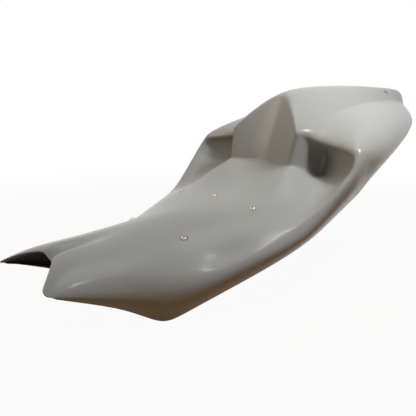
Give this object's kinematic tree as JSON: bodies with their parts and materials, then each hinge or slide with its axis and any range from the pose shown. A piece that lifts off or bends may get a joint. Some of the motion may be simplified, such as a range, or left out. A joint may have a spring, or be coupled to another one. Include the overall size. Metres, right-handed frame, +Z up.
{
  "type": "motorcycle tail fairing",
  "caption": "One-piece moulded solo seat and tail hump for a motorcycle, with a crowned seat pan, a leaning bum stop, side pockets and button-head screws in the pan.",
  "frame": {"origin": "in the middle of the thread of the centre screw, under the seat pan", "axes": "+X to the rider's left, +Y to the tail, +Z up, in the attitude it has on the bike"},
  "size_m": [0.4166, 0.8887, 0.3317],
  "materials": {
    "gelcoat": "plain grey gelcoat, semi-gloss, unpainted",
    "steel": "bright zinc"
  },
  "bodies": {
    "root": {"seat_shell": "gelcoat", "seat_screws": "steel"}
  },
  "joints": []
}
